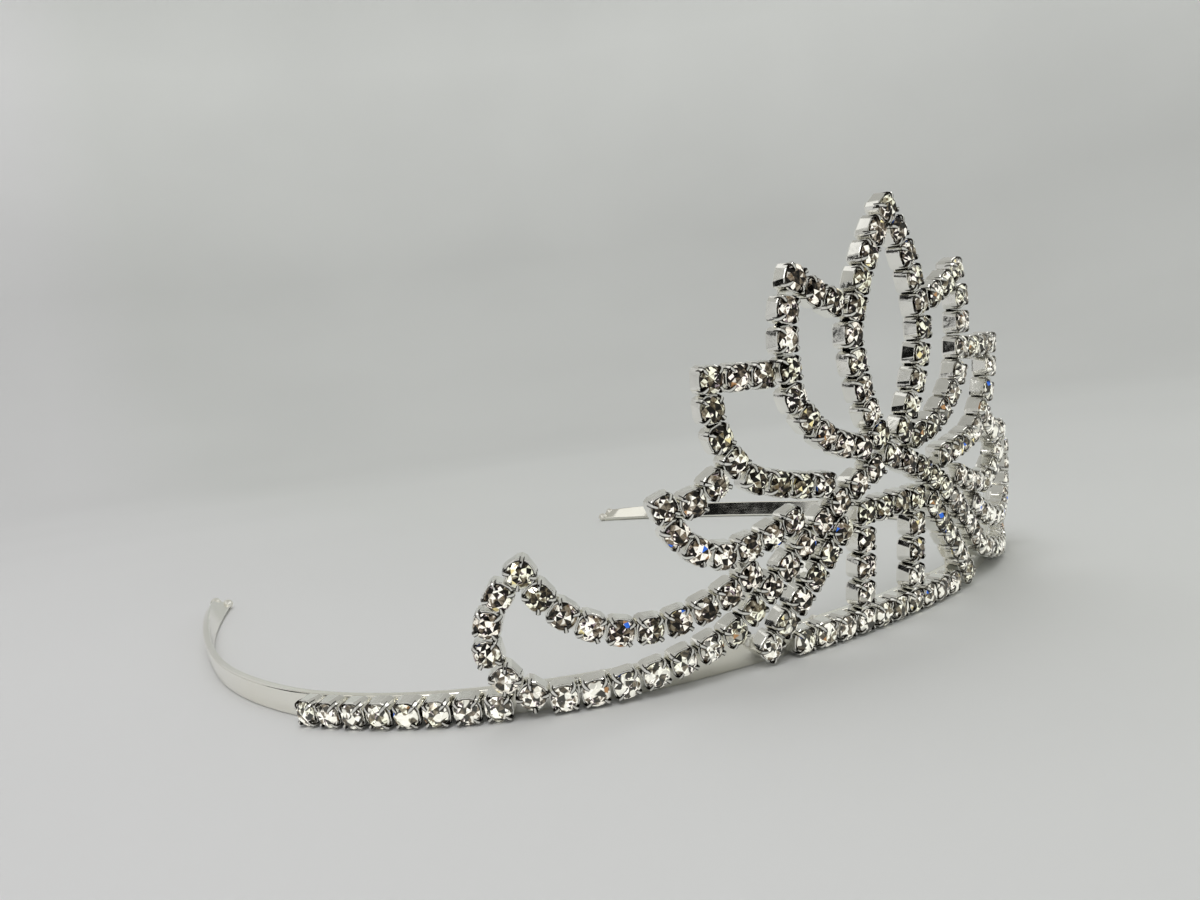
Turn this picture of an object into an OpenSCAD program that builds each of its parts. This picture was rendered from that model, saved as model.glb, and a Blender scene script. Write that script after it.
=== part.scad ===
// Rhinestone tiara: a flat band open at the back, a lace of claw cups soldered on it and the stones
// Millimetres, Z up, the wearer faces -Y, the band rests on Z = 0

/* [Band] */

// Height of the flat band
band_height = 3.2; // [2.8:0.1:3.4]
// Thickness of the flat band
band_thickness = 1.0; // [0.8:0.1:1.2]
// Diameter of the small balls at the ends of the band
end_ball = 2.0; // [1.6:0.1:2.4]

/* [Lace] */

// Outward lean of the lace at its foot, in millimetres for each millimetre of height
lean = 0.15; // [0.08:0.01:0.2]
// How much of that lean is lost for each millimetre of height
lean_ease = 0.0007; // [0:0.0001:0.001]
// Height at which the lace meets the outer face of the band
foot_height = 1.6; // [1.5:0.1:1.8]
// Distance of the stones' girdles in front of the band
stone_out = 2.0; // [1.9:0.05:2.1]
// Cups nearer to each other than this are joined by a link
join_reach = 3.5; // [3.5:0.05:3.6]

/* [Cups] */

// Width of a square cup
cup_width = 2.9; // [2.8:0.05:3.0]
// Thickness of a cup's floor
cup_floor = 0.55; // [0.5:0.05:0.7]
// Height of a cup's wall from its back
cup_wall = 1.7; // [1.6:0.05:1.8]
// Diameter of the pocket under the stone
pocket = 2.3; // [2.2:0.05:2.4]
// Width of a claw
claw_width = 0.5; // [0.4:0.05:0.6]
// Height of the claws from the back of the cup
claw_height = 2.5; // [2.4:0.05:2.6]

/* [Stones] */

// Girdle diameter of a stone
stone = 2.8; // [2.7:0.05:2.8]
// Height of the girdle from the back of the cup
girdle = 2.15; // [2.1:0.05:2.25]
// Height of the crown of a stone
crown = 0.45; // [0.4:0.05:0.6]
// Depth of the pavilion of a stone
pavilion = 1.2; // [1.1:0.05:1.25]

/* [Hidden] */

$fn = 48;
cup_corner = 1.85;
claw_inset = 0.05;
claw_reach = cup_width / sqrt(2) - claw_width / 2 - claw_inset;
claw_gap = 0.1;
claw_foot = 0.4;
link_width = 1.2;
link_low = 0.12;
link_high = 0.42;
link_short = 0.4;
band_steps = 64;
middle_y = 55.5;

// Plan of one half of the band from the front: length and radius of each arc
arcs = [
    [26, 104],
    [26, 52],
    [26, 42],
    [26, 80],
    [26, 190],
    [30, 250]
];
half_length = 160;

// Strands on the unrolled lace, one half. Rows: distance from the centre line, height,
// cups to the next row, sag of that run to the left of its way
center_petal = [
    [2.2, 23.1, 4, -0.7],
    [6.2, 34.8, 5, -1.0],
    [0, 48.5, 0, 0]
];
inner_petal = [
    [5.1, 22.1, 4, -1.4],
    [14.7, 28.8, 3, -0.4],
    [15.2, 38.2, 1, 0],
    [14.0, 41.4, 2, 0.2],
    [8.8, 38.6, 0, 0]
];
middle_petal = [
    [11.1, 18.8, 3, -0.3],
    [20.1, 20.9, 3, -1.0],
    [24.8, 28.9, 1, 0],
    [24.7, 31.9, 2, 0],
    [18.6, 31.7, 0, 0]
];
outer_petal = [
    [15.5, 15.5, 3, -0.4],
    [24.4, 13.4, 3, -1.4],
    [30.5, 19.6, 2, 0.8],
    [24.8, 21.1, 0, 0]
];
side_petal = [
    [21.3, 10.6, 4, -0.8],
    [32.9, 7.2, 5, -2.2],
    [44.8, 15.3, 3, 1.2],
    [49.0, 7.4, 2, 0.7],
    [45.3, 2.3, 0, 0]
];
arch = [
    [42.2, 1.6, 6, 0.9],
    [23.5, 4.8, 4, 0],
    [14.0, 12.6, 5, -0.8],
    [0, 20.4, 0, 0]
];
bridge = [
    [1.6, 14.5, 1, 0],
    [4.8, 14.5, 3, 0],
    [4.8, 4.85, 0, 0]
];
leg = [
    [8.5, 13.1, 5, 0],
    [19.0, 2.0, 0, 0]
];
base_row = [
    [1.6, 1.6, 4, 0],
    [14.4, 1.6, 0, 0]
];
side_row = [
    [48.8, 1.5, 7, 0],
    [71.2, 1.5, 0, 0]
];

// A point on the run from a to b, t from 0 to 1, bulged by its sag
function run_point(a, b, sag, t) =
    let (
        way = b - a,
        chord = norm(way),
        ahead = way / chord,
        aside = [-ahead[1], ahead[0]],
        half = 2 * atan(2 * sag / chord),
        radius = sag == 0 ? 0 : chord / 2 / sin(half),
        swing = half * (1 - 2 * t)
    )
    sag == 0
        ? a + way * t
        : a + ahead * (chord / 2 - radius * sin(swing)) + aside * radius * (cos(swing) - cos(half));

function spot(row) = [row[0], row[1]];

// The cup centres of a strand on the unrolled lace
function centers(rows) = [
    for (i = [0:len(rows) - 2])
        for (k = [0:rows[i][2] - 1])
            run_point(spot(rows[i]), spot(rows[i + 1]), rows[i][3], k / rows[i][2]),
    spot(rows[len(rows) - 1])
];

function heading(a, b) = atan2(b[1] - a[1], b[0] - a[0]);
function wrapped(angle) = angle - 360 * round(angle / 360);

// The turn of cup i: along the strand, or along the run before it at a sharp corner
function cup_turn(p, i) =
    let (
        last = len(p) - 1,
        before = heading(p[max(i - 1, 0)], p[max(i, 1)]),
        after = heading(p[min(i, last - 1)], p[min(i + 1, last)]),
        bend = wrapped(after - before)
    )
    abs(bend) < 50 ? before + bend / 2 : before;

// Cups of one half of a strand: distance, height and turn
function half_cups(rows) =
    let (p = centers(rows))
    [for (i = [0:len(p) - 1]) [p[i][0], p[i][1], cup_turn(p, i)]];

function mirrored(cups) = [for (c = cups) if (c[0] > 0) [-c[0], c[1], -c[2]]];
function both(rows) = concat(half_cups(rows), mirrored(half_cups(rows)));

all_cups = concat(
    both(center_petal),
    both(inner_petal),
    both(middle_petal),
    both(outer_petal),
    both(side_petal),
    both(arch),
    both(bridge),
    both(leg),
    both(base_row),
    both(side_row)
);

// Turn of the band and place of its outer face at distance s from the front
function arc_turn(i, s) = s / arcs[i][1] * 180 / PI;
function band_turn(s, i = 0) =
    s <= arcs[i][0] || i == len(arcs) - 1
        ? arc_turn(i, s)
        : arc_turn(i, arcs[i][0]) + band_turn(s - arcs[i][0], i + 1);
function band_place(s, i = 0, turned = 0) =
    let (
        last = s <= arcs[i][0] || i == len(arcs) - 1,
        radius = arcs[i][1],
        turn = turned + arc_turn(i, last ? s : arcs[i][0]),
        step = radius * [sin(turn) - sin(turned), cos(turned) - cos(turn)]
    )
    last ? step : step + band_place(s - arcs[i][0], i + 1, turn);

function lean_out(z) = lean * (z - foot_height) - lean_ease * pow(z - foot_height, 2);
function lean_angle(z) = atan(lean - 2 * lean_ease * (z - foot_height));

// Puts children on the leaning lace, their Z out of it and their Y up, with the stone's girdle
// centre at the distance and height of cup c
module on_lace(c) {
    side = c[0] < 0 ? -1 : 1;
    place = band_place(abs(c[0]));
    turn = side * band_turn(abs(c[0]));
    out = lean_out(c[1]) + stone_out;
    translate([side * place[0] + sin(turn) * out, place[1] - cos(turn) * out - middle_y, c[1]])
        rotate([0, 0, turn])
            rotate([90 + lean_angle(c[1]), 0, 0])
                rotate([0, 0, c[2]])
                    translate([0, 0, -girdle])
                        children();
}

// Points along a face of the band, inset from its outer face, from one end to the other
function face_line(inset) = [
    for (i = [-band_steps:band_steps])
        let (
            s = half_length * abs(i) / band_steps,
            side = i < 0 ? -1 : 1,
            place = band_place(s),
            turn = band_turn(s)
        )
        [side * (place[0] - inset * sin(turn)), place[1] + inset * cos(turn) - middle_y]
];

module band() {
    outer = face_line(0);
    inner = face_line(band_thickness);
    back = [for (i = [len(inner) - 1:-1:0]) inner[i]];
    linear_extrude(height = band_height)
        polygon(concat(outer, back));
}

// Two small balls of solder close each end of the band
module end_balls() {
    radius = end_ball / 2;
    for (side = [-1, 1])
        for (row = [[-1.6, band_height - 0.5], [0.5, radius]]) {
            place = band_place(half_length + row[0]);
            translate([side * (place[0] + 0.4), place[1] - middle_y, row[1]])
                sphere(r = radius);
        }
}

// Whether a claw at this angle of cup c keeps clear of every other stone
function claw_free(c, angle) =
    let (
        ahead = [cos(c[2] + angle), sin(c[2] + angle)],
        aside = [-ahead[1], ahead[0]] * claw_width / 2,
        tip = spot(c) + claw_reach * ahead,
        close = [
            for (o = all_cups)
                for (edge = [-1, 0, 1])
                    let (gap = norm(tip + edge * aside - spot(o)))
                    if (norm(spot(o) - spot(c)) > 0.1 && gap < stone / 2 + claw_gap) 1
        ]
    )
    len(close) == 0;

module cup(c) {
    difference() {
        linear_extrude(height = cup_wall)
            intersection() {
                square(cup_width, center = true);
                circle(r = cup_corner);
            }
        translate([0, 0, cup_floor])
            cylinder(d = pocket, h = cup_wall);
    }
    translate([0, 0, cup_wall - claw_foot])
        linear_extrude(height = claw_height - cup_wall + claw_foot)
            difference() {
                for (angle = [45:90:315])
                    if (claw_free(c, angle))
                        rotate(angle)
                            translate([claw_reach / 2, 0])
                                square([claw_reach, claw_width], center = true);
                circle(r = stone / 2 + claw_gap);
            }
}

// A link lies in the floors of the two cups that it joins
module link(a, b) {
    between = (a + b) / 2;
    on_lace([between[0], between[1], heading(a, b)])
        translate([0, 0, (link_low + link_high) / 2])
            cube([norm(b - a) - link_short, link_width, link_high - link_low], center = true);
}

module links() {
    for (i = [0:len(all_cups) - 2])
        for (k = [i + 1:len(all_cups) - 1]) {
            a = spot(all_cups[i]);
            b = spot(all_cups[k]);
            if (norm(b - a) < join_reach)
                link(a, b);
        }
}

// A round stone: octagonal table, 24 crown facets and 16 pavilion facets
module cut_stone() {
    girdle_r = stone / 2;
    table_r = stone * 0.29;
    points = concat(
        [for (k = [0:7]) [table_r * cos(45 * k), table_r * sin(45 * k), crown]],
        [for (k = [0:15]) [girdle_r * cos(22.5 * k), girdle_r * sin(22.5 * k), 0]],
        [[0, 0, -pavilion]]
    );
    table = [[7, 6, 5, 4, 3, 2, 1, 0]];
    upper = [
        for (k = [0:7]) each [
            [k, 8 + 2 * k, 8 + (2 * k + 15) % 16],
            [k, 8 + (2 * k + 1) % 16, 8 + 2 * k],
            [k, (k + 1) % 8, 8 + (2 * k + 1) % 16]
        ]
    ];
    lower = [for (k = [0:15]) [24, 8 + k, 8 + (k + 1) % 16]];
    polyhedron(points = points, faces = concat(table, upper, lower));
}

module stones(cups) {
    color("Azure")
        for (c = cups)
            on_lace(c)
                translate([0, 0, girdle])
                    cut_stone();
}

module frame() {
    color("Silver")
        union() {
            band();
            end_balls();
            for (c = all_cups)
                on_lace(c)
                    cup(c);
            links();
        }
}

module center_petal_stones() stones(both(center_petal));
module inner_petal_stones_left() stones(mirrored(half_cups(inner_petal)));
module inner_petal_stones_right() stones(half_cups(inner_petal));
module middle_petal_stones_left() stones(mirrored(half_cups(middle_petal)));
module middle_petal_stones_right() stones(half_cups(middle_petal));
module outer_petal_stones_left() stones(mirrored(half_cups(outer_petal)));
module outer_petal_stones_right() stones(half_cups(outer_petal));
module side_petal_stones_left() stones(mirrored(half_cups(side_petal)));
module side_petal_stones_right() stones(half_cups(side_petal));
module arch_stones() stones(both(arch));
module bridge_stones() stones(both(bridge));
module leg_stones_left() stones(mirrored(half_cups(leg)));
module leg_stones_right() stones(half_cups(leg));
module base_row_stones() stones(both(base_row));
module side_row_stones_left() stones(mirrored(half_cups(side_row)));
module side_row_stones_right() stones(half_cups(side_row));

frame();
center_petal_stones();
inner_petal_stones_left();
inner_petal_stones_right();
middle_petal_stones_left();
middle_petal_stones_right();
outer_petal_stones_left();
outer_petal_stones_right();
side_petal_stones_left();
side_petal_stones_right();
arch_stones();
bridge_stones();
leg_stones_left();
leg_stones_right();
base_row_stones();
side_row_stones_left();
side_row_stones_right();
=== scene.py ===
"""Rhinestone tiara: the dressed model of a flat band with a lace of claw-set stones."""

from functools import partial
from math import atan, atan2, cos, dist, pi, radians, remainder, sin, sqrt

import bmesh
import bpy
from mathutils import Matrix, Vector


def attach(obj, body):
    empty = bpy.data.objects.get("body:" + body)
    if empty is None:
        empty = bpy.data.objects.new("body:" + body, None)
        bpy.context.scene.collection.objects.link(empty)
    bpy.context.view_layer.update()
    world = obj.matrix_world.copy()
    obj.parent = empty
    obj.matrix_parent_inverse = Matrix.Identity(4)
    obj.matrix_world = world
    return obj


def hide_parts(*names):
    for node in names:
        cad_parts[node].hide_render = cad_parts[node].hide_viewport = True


bl_info = {
    "name": "Rhinestone tiara",
    "version": (1, 0, 0),
    "blender": (4, 5, 0),
    "location": "View3D > Sidebar > Tiara",
    "description": "Builds a tiara of claw-set stones on a flat band",
    "category": "Add Mesh",
}

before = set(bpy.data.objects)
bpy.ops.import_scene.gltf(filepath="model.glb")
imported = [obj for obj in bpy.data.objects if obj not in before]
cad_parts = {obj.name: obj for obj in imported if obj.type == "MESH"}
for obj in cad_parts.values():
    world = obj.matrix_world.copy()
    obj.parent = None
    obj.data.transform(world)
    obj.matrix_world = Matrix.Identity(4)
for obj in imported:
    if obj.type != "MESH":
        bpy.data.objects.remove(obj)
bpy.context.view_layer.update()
MM = 0.001
UP = Vector((0, 0, 1))

# Sizes from here on are in millimetres, unless their comment says otherwise.
# Plan of half the band, from the front: length and radius of each arc
ARCS = ((26, 104), (26, 52), (26, 42), (26, 80), (26, 190), (30, 250))
HALF_LENGTH = 160.0
# How far behind the band's front the origin lies
MIDDLE_Y = 55.5
# The lace's lean: slope at its foot, easing with height, the foot's height, and how far
# the girdles stand out from the band there
LEAN, LEAN_EASE, FOOT_HEIGHT, STONE_OUT = 0.15, 0.0007, 1.6, 2.0
# The twist of the band's ends: where it starts, its last angle and how late it comes
TWIST_START, END_TWIST, TWIST_EASE = 125.0, radians(50), 1.5
# A cup's depth under its girdle, the radius of the band's edges, and how far apart two
# cups may be to be joined
GIRDLE, BAND_EDGE, JOIN_REACH = 2.15, 0.22, 3.5
# A bend past which a strand turns a corner instead of a curve
CORNER_BEND = radians(50)

# Runs of each strand on the unrolled lace: distance from the front, height, cups up to
# the next run, and sag to the left of the way
STRANDS = {
    "center_petal": ((2.2, 23.1, 4, -0.7), (6.2, 34.8, 5, -1.0), (0, 48.5, 0, 0)),
    "inner_petal": (
        (5.1, 22.1, 4, -1.4),
        (14.7, 28.8, 3, -0.4),
        (15.2, 38.2, 1, 0),
        (14.0, 41.4, 2, 0.2),
        (8.8, 38.6, 0, 0),
    ),
    "middle_petal": (
        (11.1, 18.8, 3, -0.3),
        (20.1, 20.9, 3, -1.0),
        (24.8, 28.9, 1, 0),
        (24.7, 31.9, 2, 0),
        (18.6, 31.7, 0, 0),
    ),
    "outer_petal": (
        (15.5, 15.5, 3, -0.4),
        (24.4, 13.4, 3, -1.4),
        (30.5, 19.6, 2, 0.8),
        (24.8, 21.1, 0, 0),
    ),
    "side_petal": (
        (21.3, 10.6, 4, -0.8),
        (32.9, 7.2, 5, -2.2),
        (44.8, 15.3, 3, 1.2),
        (49.0, 7.4, 2, 0.7),
        (45.3, 2.3, 0, 0),
    ),
    "arch": (
        (42.2, 1.6, 6, 0.9),
        (23.5, 4.8, 4, 0),
        (14.0, 12.6, 5, -0.8),
        (0, 20.4, 0, 0),
    ),
    "bridge": ((1.6, 14.5, 1, 0), (4.8, 14.5, 3, 0), (4.8, 4.85, 0, 0)),
    "leg": ((8.5, 13.1, 5, 0), (19.0, 2.0, 0, 0)),
    "base_row": ((1.6, 1.6, 4, 0), (14.4, 1.6, 0, 0)),
    "side_row": ((48.8, 1.5, 7, 0), (71.2, 1.5, 0, 0)),
}
# Strands that cross the middle are one piece, the others one on each side
WHOLE = ("center_petal", "arch", "bridge", "base_row")

# A cup's corners, the share of each side that is flat, and the angles, in radians, past
# which an edge of its walls and of its claws is sharp
CUP_CORNER, FLAT_SHARE = 0.72, 0.88
WALL_CREASE, CLAW_CREASE = 0.4, 0.65
# Sections of a cup from its back to the floor of its pocket: face they follow, distance
# out of it, height over the girdle, rounding, and their share of painted shade, which
# is dark on the lip and in the pocket
CUP_SECTIONS = (
    ("outer", -0.34, -GIRDLE, 0.6, 0.0),
    ("outer", -0.1, 0.09 - GIRDLE, 0.85, 0.0),
    ("outer", 0.0, 0.32 - GIRDLE, 1.0, 0.0),
    ("outer", 0.0, -0.3, 1.35, 0.0),
    ("outer", -0.03, -0.25, 1.35, 0.1),
    ("inner", 0.02, -0.22, 1.3, 0.62),
    ("inner", -0.04, -0.6, 1.2, 0.52),
)
# How far inside a cup's corners its claws stand
CLAW_INSET = 0.5
# Sections of a claw from its root: distance out, height, lean in radians, share of the
# claw's width, and thickness
CLAW_SECTIONS = (
    (-0.02, -0.95, 0.0, 1.05, 0.1),
    (0.03, -0.25, 0.15, 1.0, 0.13),
    (-0.05, 0.12, 0.6, 0.95, 0.13),
    (-0.28, 0.3, 1.1, 0.85, 0.12),
    (-0.66, 0.38, 1.5, 0.5, 0.07),
)
# Sides of a claw, which one is its ridge, and the painted shade on ridge and sides: the
# sides are painted dark as dark reflections, and the ridge is left bright
CLAW_SIDES, RIDGE, RIDGE_PAINTED_SHADE, SIDE_PAINTED_SHADE = 6, 1, -0.15, 1.0
# A stone's table and star as shares of its radius, and the star's share of its height
TABLE_SHARE, STAR_SHARE, STAR_HEIGHT = 0.58, 0.80, 0.52
# Heights of the stone's girdle and of its point
GIRDLE_TOP, GIRDLE_FOOT, STONE_POINT = 0.02, -0.06, -1.15
# A link's thickness, how far out of the cups' backs its middle is, its edges, and how
# much shorter it is than the step between two cups
LINK_THICKNESS, LINK_RISE, LINK_EDGE, LINK_GAP = 0.3, 0.27, 0.09, 0.4
# How unevenly cups sit, in radians about their own axes
SEAT_TILT = (0.035, 0.035, 0.02)

# Steps of the band from its front to an end, and where its flat faces start, in radii
# of its edges
BAND_STEPS, FLAT_START = 160, 1.6
# The balls at a band end: distance past the end, and distance up from its middle
END_BALLS = ((-0.7, 1.15), (0.4, -1.15))
# Shares of a ball's radius: how large it is made, how high its middle rests at least,
# how far it is flattened, and drawn out into the band
BALL_SHARE, BALL_REST, BALL_FLAT, BALL_PULL = 0.97, 0.95, 0.08, 0.35
# Where solder shows on the band: distance from the front and height
SOLDER = ((16.9, 2.9), (20.9, 2.9), (4.8, 3.0), (11.2, 3.0))
SOLDER += ((26.0, 2.6), (33.2, 2.8), (38.0, 2.9))
# A bead's radius, how far it sits behind the band's face, and its uneven swelling
BEAD_SIZE, BEAD_SINK, BEAD_UNEVEN = 0.45, 0.15, 0.6
# Least and most scale of a bead, and its turns in radians
BEAD_SCALES = ((0.8, 0.7, 0.6), (1.5, 1.1, 1.0))
BEAD_TURNS = ((0.0, 0.0, 0.0), (6.28, 6.28, 6.28))

# Warmth of the satin plate's patches, and the tone of the painted shade in the bright
# plate
WARM_PATCH, PAINTED_SHADE_TONE = (0.96, 0.945, 0.91), (0.03, 0.025, 0.02)
# Tones of a facet, painted reflections from black to white: where each starts, its
# share of the bright tone and its warmth
FACET_TONES = (
    (0.0, 0.0, 1.0),
    (0.25, 0.03, 0.75),
    (0.35, 0.1, 0.6),
    (0.43, 0.2, 0.68),
    (0.5, 0.36, 0.76),
    (0.56, 0.24, 0.45),
    (0.6, 0.55, 0.84),
    (0.69, 1.0, 1.0),
)
# Where the violet tone starts, and the tone
VIOLET = (0.96, (0.42, 0.34, 0.38))
# How brightly the facets' tones glow as painted glints, by the same places
PAINTED_GLINTS = ((0.0, 0), (0.69, 0.4), (0.77, 0.75), (0.85, 1.0), (0.96, 0.2))
# Tints of the foil behind the stones, from greenish to rosy
FOIL_TINTS = ((0.4, (0.97, 0.98, 0.87)), (0.5, 1), (0.6, (1.0, 0.955, 0.94)))
# The few facets that throw a painted flash of colour: from which of them on, and the
# colour
FIRST_PAINTED_SPARK = 0.987
PAINTED_SPARKS = (
    (0.0, 0),
    (FIRST_PAINTED_SPARK, (0.5, 0.27, 0.12)),
    (0.9895, (0.95, 0.82, 0.42)),
    (0.9925, (0.35, 0.62, 0.95)),
    (0.996, (0.04, 0.18, 0.8)),
)
# Painted light added to the stones low or far to the right, and how brightly their
# painted white highlights and the painted sparks glow
PAINTED_LIFT_TONE, PAINTED_HIGHLIGHT_GLOW, PAINTED_SPARK_GLOW = (0.1, 0.1, 0.092), 0.8, 0.5

# Where the lights face, and the floor's flat radius, bend and depth, in metres
STAGE_CENTRE = Vector((0, -0.02, 0.02))
FLOOR_REACH, FLOOR_BEND, FLOOR_DEPTH = 0.45, 0.75, 0.00003
FLOOR_SIDES, BEND_STEPS = 96, 16
# Softboxes: azimuth from the front and elevation in degrees, distance, width and height
# in metres. The first two light the cloth alone, by a share of the overhead power. The
# others show only in the metal and the stones, with their power in watts.
CLOTH_LIGHTS = (
    ("overhead", 160, 68, 1.1, 0.7, 0.7, 1.0),
    ("front", -45, 60, 1.1, 0.7, 0.7, 2.1),
)
MIRRORED_LIGHTS = (
    ("window", -75, 42, 1.0, 0.3, 0.5, 1.5),
    ("spark", 20, 55, 1.0, 0.12, 0.12, 0.6),
    ("ceiling", -150, 56, 1.0, 0.5, 0.4, 0.3),
    ("right", 85, 42, 1.0, 0.4, 0.4, 0.9),
)
# Dark cards that the metal mirrors, placed the same way
CARDS = (
    ("dark_front", -36, 20, 0.75, 0.34, 0.3),
    ("dark_left_back", -134, 15, 0.75, 0.2, 0.38),
    ("dark_left", -112, 13, 0.75, 0.24, 0.4),
    ("dark_low", -115, 0, 0.4, 0.2, 0.5),
)
# Light from all round, from the horizon up
SKY = (
    (0.0, (0.62, 0.62, 0.59)),
    (0.45, (1.0, 1.0, 0.955)),
    (0.8, (0.86, 0.86, 0.82)),
    (1.0, (0.8, 0.8, 0.76)),
)
# The camera's place in millimetres, and its azimuth, fall and roll in degrees
CAMERA_PLACE = Vector((-91.6, -71.4 - MIDDLE_Y, 32.2))
CAMERA_TURN = (36.44, 3.52, -7.53)


def run_point(a, b, sag, t):
    """A point on the run from a to b, bulged by its sag to the left of its way."""
    a, b = Vector(a), Vector(b)
    way = b - a
    if sag == 0:
        return a + way * t
    chord = way.length
    ahead = way / chord
    aside = Vector((-ahead.y, ahead.x))
    half = 2 * atan(2 * sag / chord)
    radius = chord / 2 / sin(half)
    swing = half * (1 - 2 * t)
    along = a + ahead * (chord / 2 - radius * sin(swing))
    return along + aside * radius * (cos(swing) - cos(half))


def strand_centers(rows):
    """The cup centres of one half of a strand on the unrolled lace."""
    points = []
    for (along, up, count, sag), after in zip(rows, rows[1:]):
        for k in range(count):
            points.append(run_point((along, up), after[:2], sag, k / count))
    return points + [Vector(rows[-1][:2])]


def heading(a, b):
    """The angle of the way from a to b."""
    return atan2(b[1] - a[1], b[0] - a[0])


def cup_turn(points, i):
    """The turn of cup i along its strand, or along the run before a sharp corner."""
    last = len(points) - 1
    before = heading(points[max(i - 1, 0)], points[max(i, 1)])
    after = heading(points[min(i, last - 1)], points[min(i + 1, last)])
    bend = remainder(after - before, 2 * pi)
    return before + bend / 2 if abs(bend) < CORNER_BEND else before


def strand_pieces():
    """Name, cups and stone node of each piece: a cup is a distance, height and turn."""
    pieces = []
    for name, rows in STRANDS.items():
        points = strand_centers(rows)
        right = [(p.x, p.y, cup_turn(points, i)) for i, p in enumerate(points)]
        left = [(-s, z, -turn) for s, z, turn in right if s > 0]
        if name in WHOLE:
            pieces.append((name, right + left, name + "_stones"))
        else:
            pieces.append((name + "_left", left, name + "_stones_left"))
            pieces.append((name + "_right", right, name + "_stones_right"))
    return pieces


def band_place(s):
    """Place and level outward way of the band's outer face at distance s."""
    side, left = (-1 if s < 0 else 1), abs(s)
    x = y = turned = 0.0
    for i, (length, radius) in enumerate(ARCS):
        step = left if i == len(ARCS) - 1 else min(left, length)
        turn = turned + step / radius
        x += radius * (sin(turn) - sin(turned))
        y += radius * (cos(turned) - cos(turn))
        turned, left = turn, left - step
        if left <= 0:
            break
    around = side * turned
    level = Vector((sin(around), -cos(around), 0))
    return Vector((side * x, y - MIDDLE_Y, 0)), level


def band_lean(s):
    """How far the band leans out of upright at distance s: more towards its ends."""
    share = max(0.0, (abs(s) - TWIST_START) / (HALF_LENGTH - TWIST_START))
    return atan(LEAN) + END_TWIST * min(share, 1.0) ** TWIST_EASE


def leaning(level, angle):
    """The upward and the outward way of something that leans outward by an angle."""
    upward = UP * cos(angle) + level * sin(angle)
    return upward, level * cos(angle) - UP * sin(angle)


def lace_frame(s, z, turn):
    """Girdle centre, outward and ahead ways of a cup."""
    place, level = band_place(s)
    rise = z - FOOT_HEIGHT
    out = LEAN * rise - LEAN_EASE * rise * rise + STONE_OUT
    tilt = atan(LEAN - 2 * LEAN_EASE * rise)
    up, outward = (way.normalized() for way in leaning(level, tilt))
    ahead = UP.cross(level) * cos(turn) + up * sin(turn)
    return place + level * out + UP * z, outward, ahead


class TiaraSizes(bpy.types.PropertyGroup):
    """Sizes of the tiara's metal and stones."""

    stone_diameter: bpy.props.FloatProperty(
        name="Stone diameter",
        description="Girdle diameter of a stone",
        default=2.8 * MM,
        min=2.4 * MM,
        max=2.8 * MM,
        unit="LENGTH",
    )
    crown_height: bpy.props.FloatProperty(
        name="Crown height",
        description="Height of a stone's table over its girdle",
        default=0.45 * MM,
        unit="LENGTH",
    )
    cup_width: bpy.props.FloatProperty(
        name="Cup width",
        description="Width of a square cup",
        default=3.04 * MM,
        unit="LENGTH",
    )
    wall_thickness: bpy.props.FloatProperty(
        name="Cup wall",
        description="Thickness of a cup's wall",
        default=0.18 * MM,
        unit="LENGTH",
    )
    claw_width: bpy.props.FloatProperty(
        name="Claw width",
        description="Width of a claw where it leaves the cup",
        default=0.6 * MM,
        unit="LENGTH",
    )
    link_width: bpy.props.FloatProperty(
        name="Link width",
        description="Width of the strap between two cups",
        default=1.1 * MM,
        unit="LENGTH",
    )
    band_height: bpy.props.FloatProperty(
        name="Band height",
        description="Height of the flat band",
        default=3.2 * MM,
        unit="LENGTH",
    )
    band_thickness: bpy.props.FloatProperty(
        name="Band thickness",
        description="Thickness of the flat band",
        default=1.0 * MM,
        unit="LENGTH",
    )
    end_ball: bpy.props.FloatProperty(
        name="End ball",
        description="Diameter of the solder balls that close the band's ends",
        default=2.0 * MM,
        unit="LENGTH",
    )


class TiaraFinishes(bpy.types.PropertyGroup):
    """Colours and finishes of the tiara."""

    silver: bpy.props.FloatVectorProperty(
        name="Silver plate",
        description="Colour of the plated metal",
        default=(0.94, 0.93, 0.88),
        min=0.0,
        max=1.0,
        subtype="COLOR",
    )
    band_silver: bpy.props.FloatVectorProperty(
        name="Band",
        description="Colour of the satin plating on the band",
        default=(0.97, 0.96, 0.895),
        min=0.0,
        max=1.0,
        subtype="COLOR",
    )
    # The facets' dark and bright colours are painted reflections
    facet_dark: bpy.props.FloatVectorProperty(
        name="Dark facets",
        description="Colour of the facets that look into the foil",
        default=(0.009, 0.008, 0.006),
        min=0.0,
        max=1.0,
        subtype="COLOR",
    )
    facet_light: bpy.props.FloatVectorProperty(
        name="Bright facets",
        description="Colour of the facets that throw light back",
        default=(0.98, 0.965, 0.87),
        min=0.0,
        max=1.0,
        subtype="COLOR",
    )
    facet_seed: bpy.props.IntProperty(
        name="Facet seed",
        description="Which facets of each stone are dark or bright",
        default=7,
    )


class TiaraStage(bpy.types.PropertyGroup):
    """The pale floor, the lights and the camera."""

    floor_colour: bpy.props.FloatVectorProperty(
        name="Floor",
        description="Colour of the pale floor",
        default=(0.755, 0.755, 0.765),
        min=0.0,
        max=1.0,
        subtype="COLOR",
    )
    overhead_power: bpy.props.FloatProperty(
        name="Overhead light",
        description="Power of the large light above",
        default=1.8,
        unit="POWER",
    )
    sky_strength: bpy.props.FloatProperty(
        name="Sky",
        description="Strength of the light from all round",
        default=0.49,
        min=0.0,
    )
    lens: bpy.props.FloatProperty(
        name="Lens",
        description="Focal length of the camera on a 36 mm wide sensor",
        default=27.94,
        unit="CAMERA",
    )


def fill(tree, node, inputs):
    """Links a node's inputs to sockets, or sets them to values."""
    for key, value in inputs.items():
        if isinstance(value, bpy.types.NodeSocket):
            tree.links.new(value, node.inputs[key])
        else:
            node.inputs[key].default_value = value


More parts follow.
